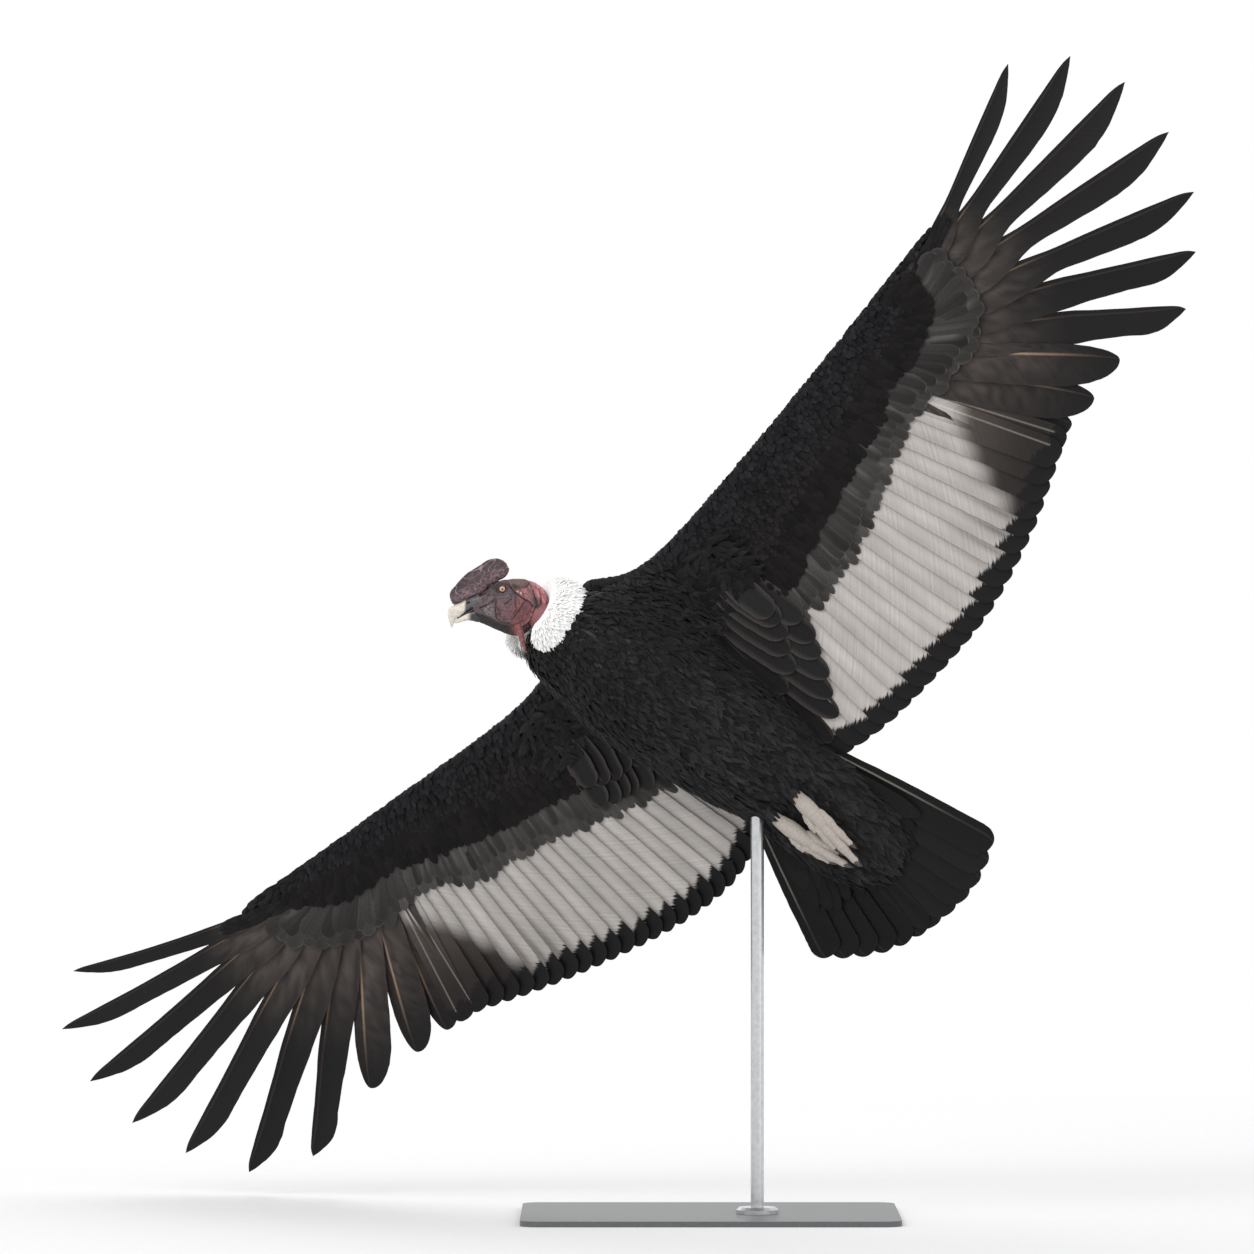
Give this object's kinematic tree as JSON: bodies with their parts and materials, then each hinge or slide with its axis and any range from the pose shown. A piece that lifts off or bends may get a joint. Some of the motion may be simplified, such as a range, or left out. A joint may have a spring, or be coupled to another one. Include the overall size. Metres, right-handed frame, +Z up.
{
  "type": "andean condor display model",
  "caption": "Life-size Andean condor model in banked soaring flight, wings and tail spread, on a flat base with one rod.",
  "frame": {"origin": "centre of the bounding box in plan, on the floor under the base plate", "axes": "+Z up; the bird's belly faces -Y and its head points towards -X; +X towards its tail"},
  "size_m": [2.4378, 1.1178, 2.4436],
  "materials": {
    "plumage_black": "soft black plumage",
    "wing_feather": "brown-black vanes, pale band on the secondaries",
    "ruff_down": "white down",
    "skin": "bare folded skin, dusky red to grey",
    "comb": "wrinkled dark purple-brown",
    "bill": "ivory horn, dark at the base",
    "eye": "wet, amber iris",
    "foot": "grey-beige scales",
    "claw": "dark horn",
    "stand_paint": "satin dark grey paint",
    "stand_steel": "brushed"
  },
  "bodies": {
    "root": {"bill_lower": "bill", "bill_upper": "bill", "claw_left_1": "claw", "claw_left_2": "claw", "claw_left_3": "claw", "claw_left_4": "claw", "claw_right_1": "claw", "claw_right_2": "claw", "claw_right_3": "claw", "claw_right_4": "claw", "comb": "comb", "eye_left": "eye", "eye_right": "eye", "foot_left": "foot", "foot_right": "foot", "head": "skin", "neck": "skin", "ruff": "ruff_down", "stand_base": "stand_paint", "stand_collar": "stand_steel", "stand_rod": "stand_steel", "tail": "plumage_black", "torso": "plumage_black", "wing_arm_left": "wing_feather", "wing_arm_right": "wing_feather", "wing_forearm_left": "wing_feather", "wing_forearm_right": "wing_feather", "wing_hand_left": "wing_feather", "wing_hand_right": "wing_feather"}
  },
  "joints": []
}
